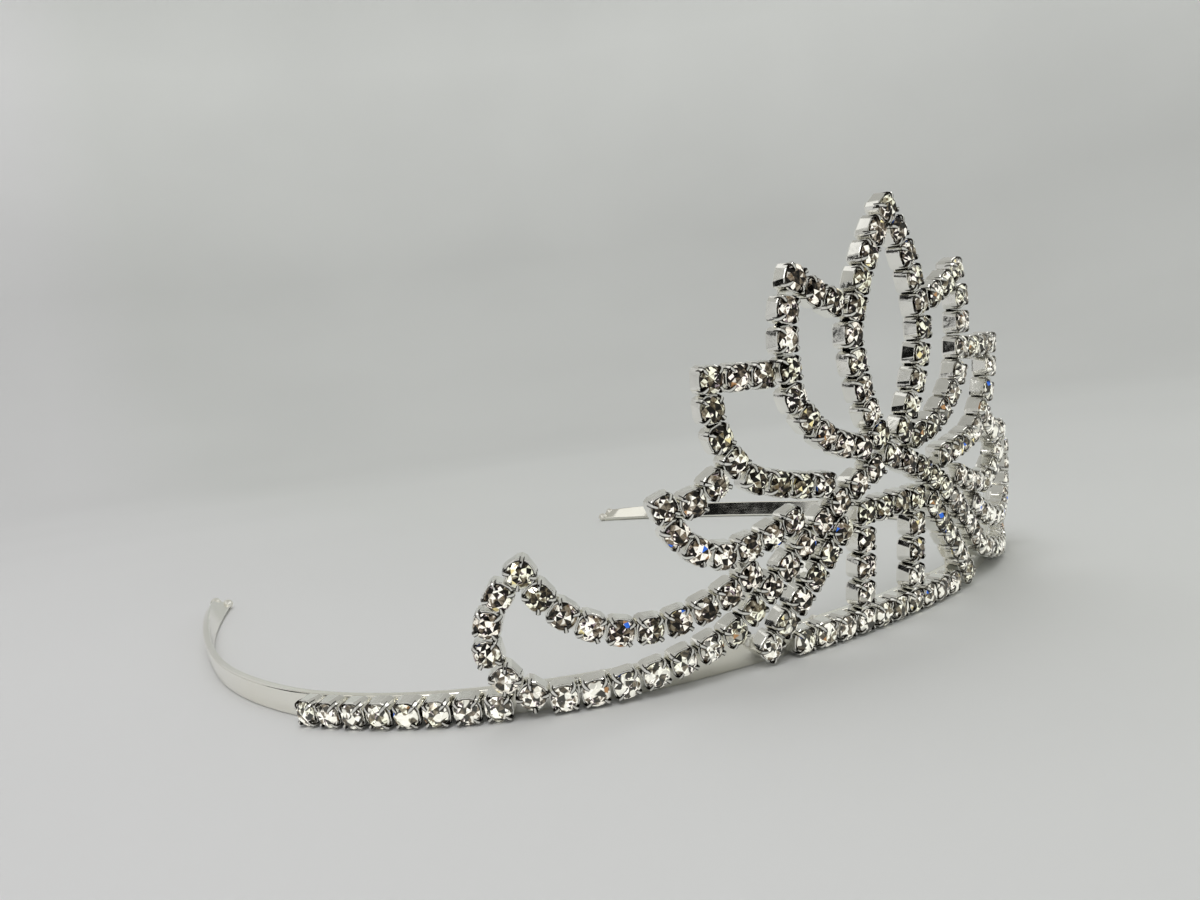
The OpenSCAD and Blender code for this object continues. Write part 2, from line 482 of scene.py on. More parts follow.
def add_node(tree, kind, inputs=None, out=0, **settings):
    """Adds a node, fills its inputs and returns one of its outputs."""
    node = tree.nodes.new(kind)
    row, column = divmod(len(tree.nodes), 10)
    node.location = (column * 220, row * -320)
    for key, value in settings.items():
        setattr(node, key, value)
    fill(tree, node, inputs or {})
    return node.outputs[out]


def maths(tree, operation, *values):
    """A sum with numbers or sockets."""
    values = dict(enumerate(values))
    return add_node(tree, "ShaderNodeMath", values, operation=operation)


def noise(tree, place, scale, detail=3.0, distortion=0.0):
    """A noise texture on a place."""
    inputs = {"Scale": scale, "Detail": detail, "Distortion": distortion}
    if place:
        inputs["Vector"] = place
    return add_node(tree, "ShaderNodeTexNoise", inputs)


def random_value(tree, seed, low, high):
    """A random number, or vector, for each point or face."""
    vector = isinstance(high, tuple)
    first, out, kind = (0, 0, "FLOAT_VECTOR") if vector else (2, 1, "FLOAT")
    inputs = {first: low, first + 1: high, "Seed": seed}
    return add_node(tree, "FunctionNodeRandomValue", inputs, out, data_type=kind)


def carried(tree, name, kind):
    """A value that the points or faces carry."""
    inputs = {"Name": name}
    node = "GeometryNodeInputNamedAttribute"
    return add_node(tree, node, inputs, "Attribute", data_type=kind)


def new_tree(name, **inputs):
    """A Geometry Nodes tree with named inputs of each kind, and its input node."""
    tree = bpy.data.node_groups.new(name, "GeometryNodeTree")
    new_socket = tree.interface.new_socket
    new_socket("Geometry", in_out="OUTPUT", socket_type="NodeSocketGeometry")
    for kind, labels in inputs.items():
        for label in labels:
            new_socket(label, in_out="INPUT", socket_type="NodeSocket" + kind)
    return tree, tree.nodes.new("NodeGroupInput").outputs


def end_tree(tree, geometry, material, selection=True):
    """Sets a tree's last material and hands the result to its output node."""
    inputs = {"Geometry": geometry, "Selection": selection, "Material": material}
    made = add_node(tree, "GeometryNodeSetMaterial", inputs)
    fill(tree, tree.nodes.new("NodeGroupOutput"), {"Geometry": made})
    return tree


def place_object(name, mesh):
    """Links a mesh to the scene as an object at the origin."""
    thing = bpy.data.objects.new(name, mesh)
    bpy.context.scene.collection.objects.link(thing)
    return thing


def shape_object(name, shape, smooth=True):
    """An object with the mesh of a bmesh, which is freed."""
    mesh = bpy.data.meshes.new(name)
    shape.to_mesh(mesh)
    shape.free()
    mesh.polygons.foreach_set("use_smooth", [smooth] * len(mesh.polygons))
    return place_object(name, mesh)


def carrier(name, points, edges=(), **columns):
    """A helper object of points, each with its value in every named column."""
    mesh = bpy.data.meshes.new(name)
    mesh.from_pydata([tuple(p) for p in points], edges, [])
    kinds = {bool: "BOOLEAN", float: "FLOAT", Vector: "FLOAT_VECTOR"}
    for key, values in columns.items():
        kind = kinds[type(values[0])]
        layer = mesh.attributes.new(key, kind, "POINT")
        if kind == "FLOAT_VECTOR":
            layer.data.foreach_set("vector", [c for v in values for c in v])
        else:
            layer.data.foreach_set("value", values)
    return place_object(name, mesh)


def grown(name, tree, holder, **values):
    """The plain mesh that a tree makes of a helper object, as an object of its own."""
    modifier = holder.modifiers.new(name, "NODES")
    modifier.node_group = tree
    sockets = {
        item.name.replace(" ", "_").lower(): item.identifier
        for item in tree.interface.items_tree
        if item.item_type == "SOCKET" and item.in_out == "INPUT"
    }
    for key, value in values.items():
        modifier[sockets[key]] = value
    bpy.context.view_layer.update()
    graph = bpy.context.evaluated_depsgraph_get()
    mesh = bpy.data.meshes.new_from_object(
        holder.evaluated_get(graph), preserve_all_data_layers=True, depsgraph=graph
    )
    mesh.name = name
    holder.modifiers.remove(modifier)
    bpy.data.objects.remove(holder)
    return place_object(name, mesh)


def circle(shape, count, radius, height, offset=0.0):
    """Vertices round the Z axis."""
    angles = [2 * pi * (k + offset) / count for k in range(count)]
    return [shape.verts.new((radius * cos(a), radius * sin(a), height)) for a in angles]


def rounded_square(half, corner):
    """Twenty points round a square with rounded corners, from low on its right side."""
    points = []
    flat = (half - corner) * FLAT_SHARE
    centre = Vector((half - corner, half - corner))
    for quarter in range(4):
        turn = Matrix.Rotation(quarter * pi / 2, 2)
        side = [Vector((half, -flat)), Vector((half, flat))]
        for a in (0, pi / 4, pi / 2):
            side.append(centre + corner * Vector((cos(a), sin(a))))
        points += [turn @ p for p in side]
    return points


def bridge_rings(shape, rings, close_first=True):
    """Joins rings of vertices into a wall that is closed at its last ring."""
    for one, two in zip(rings, rings[1:]):
        for k in range(len(one)):
            n = (k + 1) % len(one)
            shape.faces.new((one[k], one[n], two[n], two[k]))
    if close_first:
        shape.faces.new(list(reversed(rings[0])))
    shape.faces.new(rings[-1])


def add_claw(shape, sizes, angle, painted_shade):
    """One claw that rises from a cup's corner and bends over the stone."""
    reach = sizes.cup_width / sqrt(2) - CLAW_INSET * MM
    width = sizes.claw_width / 2
    around = Matrix.Rotation(angle, 3, "Z")
    rings = []
    for out, height, lean, taper, thick in CLAW_SECTIONS:
        inward = Vector((-cos(lean), 0, -sin(lean)))
        centre = Vector((reach + out * MM, 0, height * MM))
        ring = []
        for k in range(CLAW_SIDES):
            a = 2 * pi * (k + 0.5) / CLAW_SIDES
            point = centre - inward * (thick * MM) * sin(a)
            point.y += width * taper * cos(a)
            vert = shape.verts.new(around @ point)
            # Painted dark reflections on the claw's sides, none on its ridge
            vert[painted_shade] = RIDGE_PAINTED_SHADE if k == RIDGE else SIDE_PAINTED_SHADE
            ring.append(vert)
        rings.append(ring)
    bridge_rings(shape, rings)


def cup_template(sizes):
    """A rounded square cup with four bent claws, its stone's girdle at the origin."""
    shape = bmesh.new()
    painted_shade = shape.verts.layers.float.new("painted_shade")
    half = sizes.cup_width / 2
    faces = {"outer": half, "inner": half - sizes.wall_thickness}
    rings = []
    # Each section carries its share of painted shade, dark where shade falls on lip and
    # pocket
    for face, out, height, rounding, shade_share in CUP_SECTIONS:
        outline = rounded_square(faces[face] + out * MM, CUP_CORNER * MM * rounding)
        ring = [shape.verts.new((p.x, p.y, height * MM)) for p in outline]
        for vert in ring:
            vert[painted_shade] = shade_share
        rings.append(ring)
    bridge_rings(shape, rings)
    walls = set(shape.edges)
    for quarter in range(4):
        add_claw(shape, sizes, pi / 4 + quarter * pi / 2, painted_shade)
    bmesh.ops.recalc_face_normals(shape, faces=shape.faces)
    for edge in shape.edges:
        crease = WALL_CREASE if edge in walls else CLAW_CREASE
        edge.smooth = len(edge.link_faces) < 2 or edge.calc_face_angle(0) < crease
    return shape_object("cup_template", shape)


def stone_template(sizes):
    """A round stone: a table with the star seen through it, crown and pavilion."""
    radius, crown = sizes.stone_diameter / 2, sizes.crown_height
    shape = bmesh.new()
    middle = shape.verts.new((0, 0, crown))
    table = circle(shape, 8, radius * TABLE_SHARE, crown)
    star = circle(shape, 8, radius * STAR_SHARE, crown * STAR_HEIGHT, 0.5)
    girdle = circle(shape, 16, radius, GIRDLE_TOP * MM)
    edge = circle(shape, 16, radius, GIRDLE_FOOT * MM)
    point = shape.verts.new((0, 0, STONE_POINT * MM))
    for k in range(8):
        n, near, far = (k + 1) % 8, 2 * k + 1, (2 * k + 2) % 16
        shape.faces.new((middle, table[k], table[n]))
        shape.faces.new((table[k], star[k], table[n]))
        shape.faces.new((table[n], star[k], girdle[2 * n], star[n]))
        shape.faces.new((star[k], girdle[2 * k], girdle[near]))
        shape.faces.new((star[k], girdle[near], girdle[far]))
        shape.faces.new((edge[2 * k], point, edge[far], edge[near]))
    for k in range(16):
        n = (k + 1) % 16
        shape.faces.new((girdle[k], edge[k], edge[n], girdle[n]))
    bmesh.ops.recalc_face_normals(shape, faces=shape.faces)
    stone = shape_object("stone_template", shape, smooth=False)
    layer = stone.data.attributes.new("stone", "BOOLEAN", "FACE")
    layer.data.foreach_set("value", [True] * len(stone.data.polygons))
    return stone


def link_template(sizes):
    """A strap with rounded edges, a millimetre long, to stretch between two cups."""
    shape = bmesh.new()
    bmesh.ops.create_cube(shape, size=1.0)
    scale = Matrix.Diagonal((MM, sizes.link_width, LINK_THICKNESS * MM, 1))
    bmesh.ops.transform(shape, matrix=scale, verts=shape.verts)
    rise = (0, 0, (LINK_RISE - GIRDLE) * MM)
    bmesh.ops.translate(shape, verts=shape.verts, vec=rise)
    ends = [(edge, [vert.co.x for vert in edge.verts]) for edge in shape.edges]
    long_edges = [edge for edge, (a, b) in ends if abs(a - b) > MM / 2]
    size = LINK_EDGE * MM
    bmesh.ops.bevel(shape, geom=long_edges, offset=size, segments=1, affect="EDGES")
    return shape_object("link_template", shape, smooth=False)


def strand_tree():
    """Nodes that set a cup, a stone and the links of a strand on its points."""
    tree, given = new_tree(
        "Claw-set strand",
        Geometry=["Points"],
        Object=["Cup", "Stone", "Link"],
        Float=["Stone size"],
        Int=["Seed"],
        Material=["Silver", "Crystal"],
    )
    add, seed = partial(add_node, tree), given["Seed"]

    def turned(rotation, by):
        """A rotation with another one before it."""
        inputs = {"Rotation": rotation, "Rotate By": by}
        return add("FunctionNodeRotateRotation", inputs, rotation_space="LOCAL")

    def placed(points, thing, rotation, scale):
        """A template on each point."""
        shape = add("GeometryNodeObjectInfo", {"Object": given[thing]}, "Geometry")
        inputs = {"Points": points, "Instance": shape}
        inputs.update({"Rotation": rotation, "Scale": scale})
        return add("GeometryNodeInstanceOnPoints", inputs)

    axes = {
        "Primary Axis": carried(tree, "outward", "FLOAT_VECTOR"),
        "Secondary Axis": carried(tree, "ahead", "FLOAT_VECTOR"),
    }
    turn = add("FunctionNodeAxesToRotation", axes, primary_axis="Z", secondary_axis="X")
    is_cup = carried(tree, "is_cup", "BOOLEAN")
    points = {"Geometry": given["Points"], "Selection": is_cup}
    cups = add("GeometryNodeSeparateGeometry", points, "Selection", domain="POINT")
    links = cups.node.outputs["Inverted"]

    tilt = random_value(tree, seed, tuple(-angle for angle in SEAT_TILT), SEAT_TILT)
    seat = turned(turn, add("FunctionNodeEulerToRotation", {0: tilt}))
    spin = {"Axis": UP, "Angle": random_value(tree, seed, 0.0, 2 * pi)}
    loose = turned(seat, add("FunctionNodeAxisAngleToRotation", spin))
    joined = add("GeometryNodeJoinGeometry")
    for copies in (
        placed(cups, "Cup", seat, (1, 1, 1)),
        placed(cups, "Stone", loose, given["Stone size"]),
        placed(links, "Link", turn, carried(tree, "stretch", "FLOAT_VECTOR")),
    ):
        fill(tree, joined.node, {0: copies})
    real = add("GeometryNodeRealizeInstances", {"Geometry": joined})

    tone = random_value(tree, seed, 0.0, 1.0)
    facets = {"Geometry": real, "Name": "facet", "Value": tone}
    kinds = {"data_type": "FLOAT", "domain": "FACE"}
    toned = add("GeometryNodeStoreNamedAttribute", facets, **kinds)
    metal = {"Geometry": toned, "Material": given["Silver"]}
    plated = add("GeometryNodeSetMaterial", metal)
    return end_tree(tree, plated, given["Crystal"], carried(tree, "stone", "BOOLEAN"))


def sweep_tree():
    """Nodes that sweep a closed profile along a path, tilted by the path's lean."""
    tree, given = new_tree(
        "Swept band", Geometry=["Path"], Object=["Profile"], Material=["Metal"]
    )
    add = partial(add_node, tree)
    path = add("GeometryNodeMeshToCurve", {0: given["Path"]})
    upright = add("GeometryNodeSetCurveNormal", {"Curve": path}, mode="Z_UP")
    tilt = {"Curve": upright, "Tilt": carried(tree, "lean", "FLOAT")}
    leaned = add("GeometryNodeSetCurveTilt", tilt)
    profile = add("GeometryNodeObjectInfo", {"Object": given["Profile"]}, "Geometry")
    outline = add("GeometryNodeMeshToCurve", {0: profile})
    sweep = {"Curve": leaned, "Profile Curve": outline, "Fill Caps": True}
    swept = add("GeometryNodeCurveToMesh", sweep)
    smooth = add("GeometryNodeSetShadeSmooth", {"Geometry": swept})
    real = add("GeometryNodeRealizeInstances", {"Geometry": smooth})
    return end_tree(tree, real, given["Metal"])


def solder_tree():
    """Nodes that set an uneven bead on each point, each with its own size and turn."""
    tree, given = new_tree(
        "Solder",
        Geometry=["Points"],
        Float=["Bead size", "Unevenness"],
        Int=["Seed"],
        Material=["Metal"],
    )
    add, size = partial(add_node, tree), given["Bead size"]
    ball = {"Radius": size, "Subdivisions": 3}
    bead = {
        "Points": given["Points"],
        "Instance": add("GeometryNodeMeshIcoSphere", ball),
        "Scale": random_value(tree, given["Seed"], *BEAD_SCALES),
        "Rotation": random_value(tree, given["Seed"], *BEAD_TURNS),
    }
    beads = add("GeometryNodeInstanceOnPoints", bead)
    real = add("GeometryNodeRealizeInstances", {"Geometry": beads})
    swell = maths(tree, "MULTIPLY", noise(tree, None, 900.0, 1.0), given["Unevenness"])
    swell = maths(tree, "MULTIPLY", swell, size)
    push = {0: add("GeometryNodeInputNormal"), "Scale": swell}
    push = add("ShaderNodeVectorMath", push, operation="SCALE")
    moved = add("GeometryNodeSetPosition", {"Geometry": real, "Offset": push})
    smooth = add("GeometryNodeSetShadeSmooth", {"Geometry": moved})
    return end_tree(tree, smooth, given["Metal"])


def new_material(name):
    """A material, its nodes and its object coordinates."""
    material = bpy.data.materials.new(name)
    material.use_nodes = True
    tree = material.node_tree
    return material, tree, add_node(tree, "ShaderNodeTexCoord", out="Object")


def shaded(material, inputs):
    """The material, with the inputs of its shader filled."""
    tree = material.node_tree
    fill(tree, tree.nodes["Principled BSDF"], inputs)
    return material


def rgba(tone):
    """Four numbers for a grey or for three numbers, or a socket as it is."""
    if isinstance(tone, bpy.types.NodeSocket):
        return tone
    return (tone, tone, tone, 1) if isinstance(tone, (int, float)) else (*tone, 1)


def ramp(tree, factor, stops, mode="LINEAR"):
    """A colour ramp with (place, tone) stops."""
    colour = add_node(tree, "ShaderNodeValToRGB", {"Fac": factor}, "Color")
    band = colour.node.color_ramp
    band.interpolation = mode
    while len(band.elements) < len(stops):
        band.elements.new(0.5)
    for element, (place, tone) in zip(band.elements, stops):
        element.position = place
        element.color = rgba(tone)
    return colour


def blended(tree, mode, share, one, two):
    """Two tones mixed, added or multiplied."""
    inputs = {0: share, 6: rgba(one), 7: rgba(two)}
    kinds = {"data_type": "RGBA", "blend_type": mode}
    return add_node(tree, "ShaderNodeMix", inputs, 2, **kinds)


def bump(tree, height, strength, distance):
    """A surface raised by a height pattern."""
    inputs = {"Height": height, "Strength": strength, "Distance": distance}
    return add_node(tree, "ShaderNodeBump", inputs)


def attribute(tree, name):
    """A number that the mesh carries."""
    kinds = {"attribute_type": "GEOMETRY", "attribute_name": name}
    return add_node(tree, "ShaderNodeAttribute", out="Fac", **kinds)


def axis(tree, place, letter):
    """One coordinate of a place."""
    return add_node(tree, "ShaderNodeSeparateXYZ", {0: place}, letter)


def rising(tree, value, start, end, least=0.0):
    """A share that goes from its least to 1 while a value goes from start to end."""
    inputs = {"Value": value, "From Min": start, "From Max": end, "To Min": least}
    return add_node(tree, "ShaderNodeMapRange", inputs, "Result")


def bright_silver(colour):
    """Bright silver plate: nearly a mirror, duller in patches, with painted shade in
    its pockets.
    """
    material, tree, place = new_material("bright_silver")
    dull = [c * 0.88 for c in colour]
    tone = ramp(tree, noise(tree, place, 260.0), ((0.3, dull), (0.55, colour)))
    # Painted shade and painted dark reflections in the pockets, on the lips and on the
    # claws' sides; far to the right they fall to 0.4 of their strength
    shade_share = ramp(tree, attribute(tree, "painted_shade"), ((0.25, 0), (0.7, 1)))
    near = rising(tree, axis(tree, place, "X"), 34 * MM, 8 * MM, 0.4)
    shade_share = blended(tree, "MULTIPLY", 1.0, shade_share, near)
    smears = noise(tree, place, 900.0, 2.0)
    grain = noise(tree, place, 1500.0, 2.0)
    inputs = {
        "Base Color": blended(tree, "MIX", shade_share, tone, PAINTED_SHADE_TONE),
        "Metallic": 1.0,
        "Roughness": ramp(tree, smears, ((0.35, 0.07), (0.75, 0.2))),
        "Normal": bump(tree, grain, 0.25, 0.06 * MM),
    }
    return shaded(material, inputs)


def satin_silver(name, colour, roughness):
    """A softer plate with faint streaks along it."""
    material, tree, place = new_material(name)
    warm = [c * share for c, share in zip(colour, WARM_PATCH)]
    tone = ramp(tree, noise(tree, place, 60.0), ((0.35, warm), (0.65, colour)))
    smears = noise(tree, place, 300.0)
    flat = add_node(tree, "ShaderNodeMapping", {"Vector": place, "Scale": (1, 1, 8)})
    streaks = noise(tree, flat, 260.0, 2.0)
    inputs = {
        "Base Color": tone,
        "Metallic": 1.0,
        "Roughness": ramp(tree, smears, ((0.3, roughness), (0.7, roughness + 0.08))),
        "Normal": bump(tree, streaks, 0.12, 0.05 * MM),
    }
    return shaded(material, inputs)


def cut_crystal(dark, light):
    """Clear foiled glass: each facet painted in tones of reflected light, a few in
    colour.
    """
    material, tree, place = new_material("cut_crystal")
    facet = attribute(tree, "facet")
    swirl = noise(tree, place, 1000.0, 1.0, 0.9)
    pattern = maths(tree, "FRACT", maths(tree, "MULTIPLY_ADD", swirl, 1.1, facet))
    # Each facet's tone is a painted reflection, from black to white
    stops = []
    for start, share, warmth in FACET_TONES:
        red, green, blue = (d + (l - d) * share for d, l in zip(dark, light))
        stops.append((start, (red, green * (0.5 + warmth / 2), blue * warmth)))
    tone = ramp(tree, pattern, (*stops, VIOLET), "CONSTANT")
    tints = ramp(tree, noise(tree, place, 170.0, 1.0), FOIL_TINTS)
    tone = blended(tree, "MULTIPLY", 1.0, tone, tints)

    # Stones low on the band or far to the right get painted light: lifted, and painted
    # white highlights in patches
    low = rising(tree, axis(tree, place, "Z"), 7 * MM, 2 * MM)
    far = rising(tree, axis(tree, place, "X"), 6 * MM, 26 * MM)
    pale = maths(tree, "MAXIMUM", low, far)
    painted_lift = blended(tree, "MIX", pale, 0, PAINTED_LIFT_TONE)
    tone = blended(tree, "ADD", 1.0, tone, painted_lift)
    painted_highlight = ramp(tree, noise(tree, place, 1000.0, 0.0), ((0.56, 0), (0.6, 0.9)))
    painted_highlight = blended(tree, "MULTIPLY", 1.0, painted_highlight, pale)
    tone = blended(tree, "MIX", painted_highlight, tone, light)

    # A few facets get a painted, glowing flash of colour
    chosen = ramp(tree, facet, ((0.0, 0), (FIRST_PAINTED_SPARK, 1)), "CONSTANT")
    tone = blended(tree, "MIX", chosen, tone, ramp(tree, facet, PAINTED_SPARKS, "CONSTANT"))
    # Painted glints: how brightly each facet's tone glows
    painted_glow = ramp(tree, pattern, PAINTED_GLINTS, "CONSTANT")
    painted_glow = blended(tree, "MIX", painted_highlight, painted_glow, PAINTED_HIGHLIGHT_GLOW)
    painted_glow = blended(tree, "MIX", chosen, painted_glow, PAINTED_SPARK_GLOW)
    inputs = {
        "Base Color": tone,
        # The emission is painted light: the stones glow though they are no lamp
        "Emission Color": blended(tree, "MULTIPLY", 1.0, tone, painted_glow),
        "Emission Strength": 0.6,
        "Metallic": 0.6,
        "Roughness": 0.07,
        "IOR": 1.5,
        "Coat Weight": 0.12,
        "Coat Roughness": 0.02,
    }
    return shaded(material, inputs)


def pale_cloth(colour):
    """Pale smooth cloth for the floor and backdrop, with painted light up its bend."""
    material, tree, place = new_material("pale_cloth")
    low = [c * 0.99 for c in colour]
    high = [min(1.0, c * 1.3) for c in colour]
    # Painted light: the cloth is lighter up its bend, where less light reaches the
    # backdrop
    tone = ramp(tree, axis(tree, place, "Z"), ((0.0, low), (0.2, low), (0.5, high)))
    # Painted shade: a little darker and greener to the right
    inputs = {0: place, 1: (1.0, -0.12, 0.0)}
    far = add_node(
        tree, "ShaderNodeVectorMath", inputs, "Value", operation="DOT_PRODUCT"
    )
    far = maths(tree, "ADD", far, 0.5)
    back = ramp(tree, far, ((0.42, 1), (0.52, (0.94, 0.955, 0.93))))
    # Painted shade of faint folds, from a soft noise
    painted_fold_shade = ramp(tree, noise(tree, place, 4.0, 2.0), ((0.35, 0.96), (0.65, 1.0)))
    tone = blended(tree, "MULTIPLY", 1.0, tone, back)
    tone = blended(tree, "MULTIPLY", 1.0, tone, painted_fold_shade)
    inputs = {"Base Color": tone, "Roughness": 0.85, "Specular IOR Level": 0.2}
    return shaded(material, inputs)


def card_black():
    """Matt black for the cards that the metal mirrors."""
    material, tree, place = new_material("card_black")
    tone = ramp(tree, noise(tree, place, 3.0), ((0.3, 0.004), (0.7, 0.012)))
    inputs = {"Base Color": tone, "Roughness": 0.9, "Specular IOR Level": 0.1}
    return shaded(material, inputs)


FINISHES = {}


def finish(name):
    """One of the tiara's materials, which are made once."""
    looks = bpy.context.scene.tiara_finishes
    if not FINISHES:
        FINISHES.update(
            bright_silver=bright_silver(looks.silver),
            satin_silver=satin_silver("satin_silver", looks.band_silver, 0.05),
            solder_silver=satin_silver("solder_silver", looks.silver, 0.4),
            cut_crystal=cut_crystal(looks.facet_dark, looks.facet_light),
        )
    return FINISHES[name]


def strand_links(name):
    """The links that a piece holds: to its own next cups and to pieces listed later."""
    cups = [(piece, cup) for piece, own, node in strand_pieces() for cup in own]
    return [
        (one, two)
        for i, (piece, one) in enumerate(cups)
        if piece == name
        for _, two in cups[i + 1 :]
        if dist(one[:2], two[:2]) < JOIN_REACH
    ]


def build_strand(name, cups, stone_node, templates):
    """One strand of cups, stones and links fused into one piece."""
    looks = bpy.context.scene.tiara_finishes
    rows = [(*lace_frame(*cup), Vector((1, 1, 1)), True) for cup in cups]
    for one, two in strand_links(name):
        s, z = (one[0] + two[0]) / 2, (one[1] + two[1]) / 2
        stretch = Vector((dist(one[:2], two[:2]) - LINK_GAP, 1, 1))
        rows.append((*lace_frame(s, z, heading(one, two)), stretch, False))
    points, *columns = zip(*rows)
    points = [p * MM for p in points]
    columns = zip(("outward", "ahead", "stretch", "is_cup"), columns)
    holder = carrier(name + "_points", points, **dict(columns))
    order = sorted(piece for piece, own, node in strand_pieces())
    piece = grown(
        name,
        bpy.data.node_groups.get("Claw-set strand") or strand_tree(),
        holder,
        stone_size=1.0,
        seed=looks.facet_seed + order.index(name),
        silver=finish("bright_silver"),
        crystal=finish("cut_crystal"),
        **templates,
    )
    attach(piece, "root")
    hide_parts("frame", stone_node)


def build_strands(*names):
    """Builds the pieces of the named strands."""
    sizes = bpy.context.scene.tiara_sizes
    templates = {
        "cup": cup_template(sizes),
        "stone": stone_template(sizes),
        "link": link_template(sizes),
    }
    for piece, cups, node in strand_pieces():
        if any(piece == n or piece.startswith(n + "_") for n in names):
            build_strand(piece, cups, node, templates)
    for thing in templates.values():
        bpy.data.objects.remove(thing)


def band_profile(sizes):
    """The band's cross-section: flat faces, rounded edges."""
    half_t, half_h = sizes.band_thickness / 2, sizes.band_height / 2
    r = BAND_EDGE * MM
    side, top = half_t - FLAT_START * r, half_h - FLAT_START * r
    points = []
    for quarter, (sx, sy) in enumerate(((1, 1), (-1, 1), (-1, -1), (1, -1))):
        for step in range(4):
            a = pi / 2 * quarter + pi / 6 * step
            x = sx * (half_t - r) + r * cos(a)
            points.append((x, sy * (half_h - r) + r * sin(a), 0))
        if quarter in (0, 2):
            points += [(sx * side, sy * half_h, 0), (-sx * side, sy * half_h, 0)]
        else:
            points += [(sx * half_t, sy * top, 0), (sx * half_t, -sy * top, 0)]
    count = len(points)
    return carrier("band_profile", points, [(k, (k + 1) % count) for k in range(count)])


def band_middle(sizes, s):
    """The middle of the band's section at distance s, its upward and outward ways."""
    place, level = band_place(s)
    lean = band_lean(s)
    half_t, half_h = sizes.band_thickness / 2, sizes.band_height / 2
    r = BAND_EDGE * MM
    height = (half_h - r) * cos(lean) + (half_t - r) * sin(lean) + r
    return place * MM - level * half_t + UP * height, *leaning(level, lean)


class TIARA_OT_add_headband(bpy.types.Operator):
    """Adds the flat band that opens at the back."""

    bl_idname = "tiara.add_headband"
    bl_label = "Headband"

    def execute(self, context):
        sizes = context.scene.tiara_sizes
        steps = range(-BAND_STEPS, BAND_STEPS + 1)
        spots = [HALF_LENGTH * i / BAND_STEPS for i in steps]
        path = carrier(
            "band_path",
            [band_middle(sizes, s)[0] for s in spots],
            [(k, k + 1) for k in range(2 * BAND_STEPS)],
            lean=[band_lean(s) for s in spots],
        )
        profile = band_profile(sizes)
        metal = finish("satin_silver")
        piece = grown("headband", sweep_tree(), path, profile=profile, metal=metal)
        bpy.data.objects.remove(profile)
        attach(piece, "root")
        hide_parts("frame")
        return {"FINISHED"}


class TIARA_OT_add_end_balls(bpy.types.Operator):
    """Adds the two small solder balls at each end of the band."""

    bl_idname = "tiara.add_end_balls"
    bl_label = "End balls"

    def execute(self, context):
        sizes = context.scene.tiara_sizes
        radius = sizes.end_ball / 2
        shape = bmesh.new()
        for side in (-1, 1):
            for ahead, aside in END_BALLS:
                s = side * (HALF_LENGTH + ahead)
                middle, upward, outward = band_middle(sizes, s)
                centre = middle + upward * aside * MM
                centre.z = max(centre.z, radius * BALL_REST)
                made = bmesh.ops.create_icosphere(
                    shape, subdivisions=3, radius=radius * BALL_SHARE
                )
                way = upward.cross(outward) * side
                for vert in made["verts"]:
                    back = max(0.0, -vert.co.normalized().dot(way))
                    vert.co = vert.co * (1 - BALL_FLAT * vert.co.normalized().z ** 2)
                    vert.co -= way * back**3 * BALL_PULL * radius
                    vert.co += centre
        piece = shape_object("end_balls", shape)
        piece.data.materials.append(finish("solder_silver"))
        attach(piece, "root")
        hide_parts("frame")
        return {"FINISHED"}


class TIARA_OT_add_solder(bpy.types.Operator):
    """Adds the uneven beads of solder that hold the lace on the band."""

    bl_idname = "tiara.add_solder"
    bl_label = "Solder"

    def execute(self, context):
        points = []
        for along, up in SOLDER:
            for side in (-1, 1):
                place, level = band_place(side * along)
                points.append((place - level * BEAD_SINK + UP * up) * MM)
        piece = grown(
            "solder",
            solder_tree(),
            carrier("solder_points", points),
            bead_size=BEAD_SIZE * MM,
            unevenness=BEAD_UNEVEN,
            seed=3,
            metal=finish("solder_silver"),
        )
        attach(piece, "root")
        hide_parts("frame")
        return {"FINISHED"}


class TIARA_OT_add_petals(bpy.types.Operator):
    """Adds the centre, inner, middle, outer and side petals."""

    bl_idname = "tiara.add_petals"
    bl_label = "Petals"

    def execute(self, context):
        build_strands(
            "center_petal", "inner_petal", "middle_petal", "outer_petal", "side_petal"
        )
        return {"FINISHED"}


class TIARA_OT_add_arch(bpy.types.Operator):
    """Adds the arch, the bridge with its posts and the two legs under the petals."""

    bl_idname = "tiara.add_arch"
    bl_label = "Arch, bridge and legs"

    def execute(self, context):
        build_strands("arch", "bridge", "leg")
        return {"FINISHED"}


class TIARA_OT_add_rows(bpy.types.Operator):
    """Adds the rows of stones along the band."""

    bl_idname = "tiara.add_rows"
    bl_label = "Rows on the band"

    def execute(self, context):
        build_strands("base_row", "side_row")
        return {"FINISHED"}


def around_stage(azimuth, elevation, distance):
    """A place seen from the tiara at an azimuth (0 is the front) and an elevation."""
    a, e = radians(azimuth), radians(elevation)
    way = (sin(a) * cos(e), -cos(a) * cos(e), sin(e))
    return STAGE_CENTRE + distance * Vector(way)


def facing(place):
    """The placing of a lamp or card whose -Z faces the tiara."""
    way = (STAGE_CENTRE - place).to_track_quat("-Z", "Y")
    return Matrix.Translation(place) @ way.to_matrix().to_4x4()


def add_softbox(name, azimuth, elevation, distance, width, height, power, mirrored):
    """A soft light aimed at the tiara: mirrored in it, or else for the cloth alone."""
    lamp = bpy.data.lights.new(name, "AREA")
    lamp.shape = "RECTANGLE"
    lamp.size, lamp.size_y = width, height
    lamp.energy = power
    light = place_object(name, lamp)
    light.visible_camera = False
    light.visible_glossy = mirrored
    light.visible_diffuse = not mirrored
    light.matrix_world = facing(around_stage(azimuth, elevation, distance))


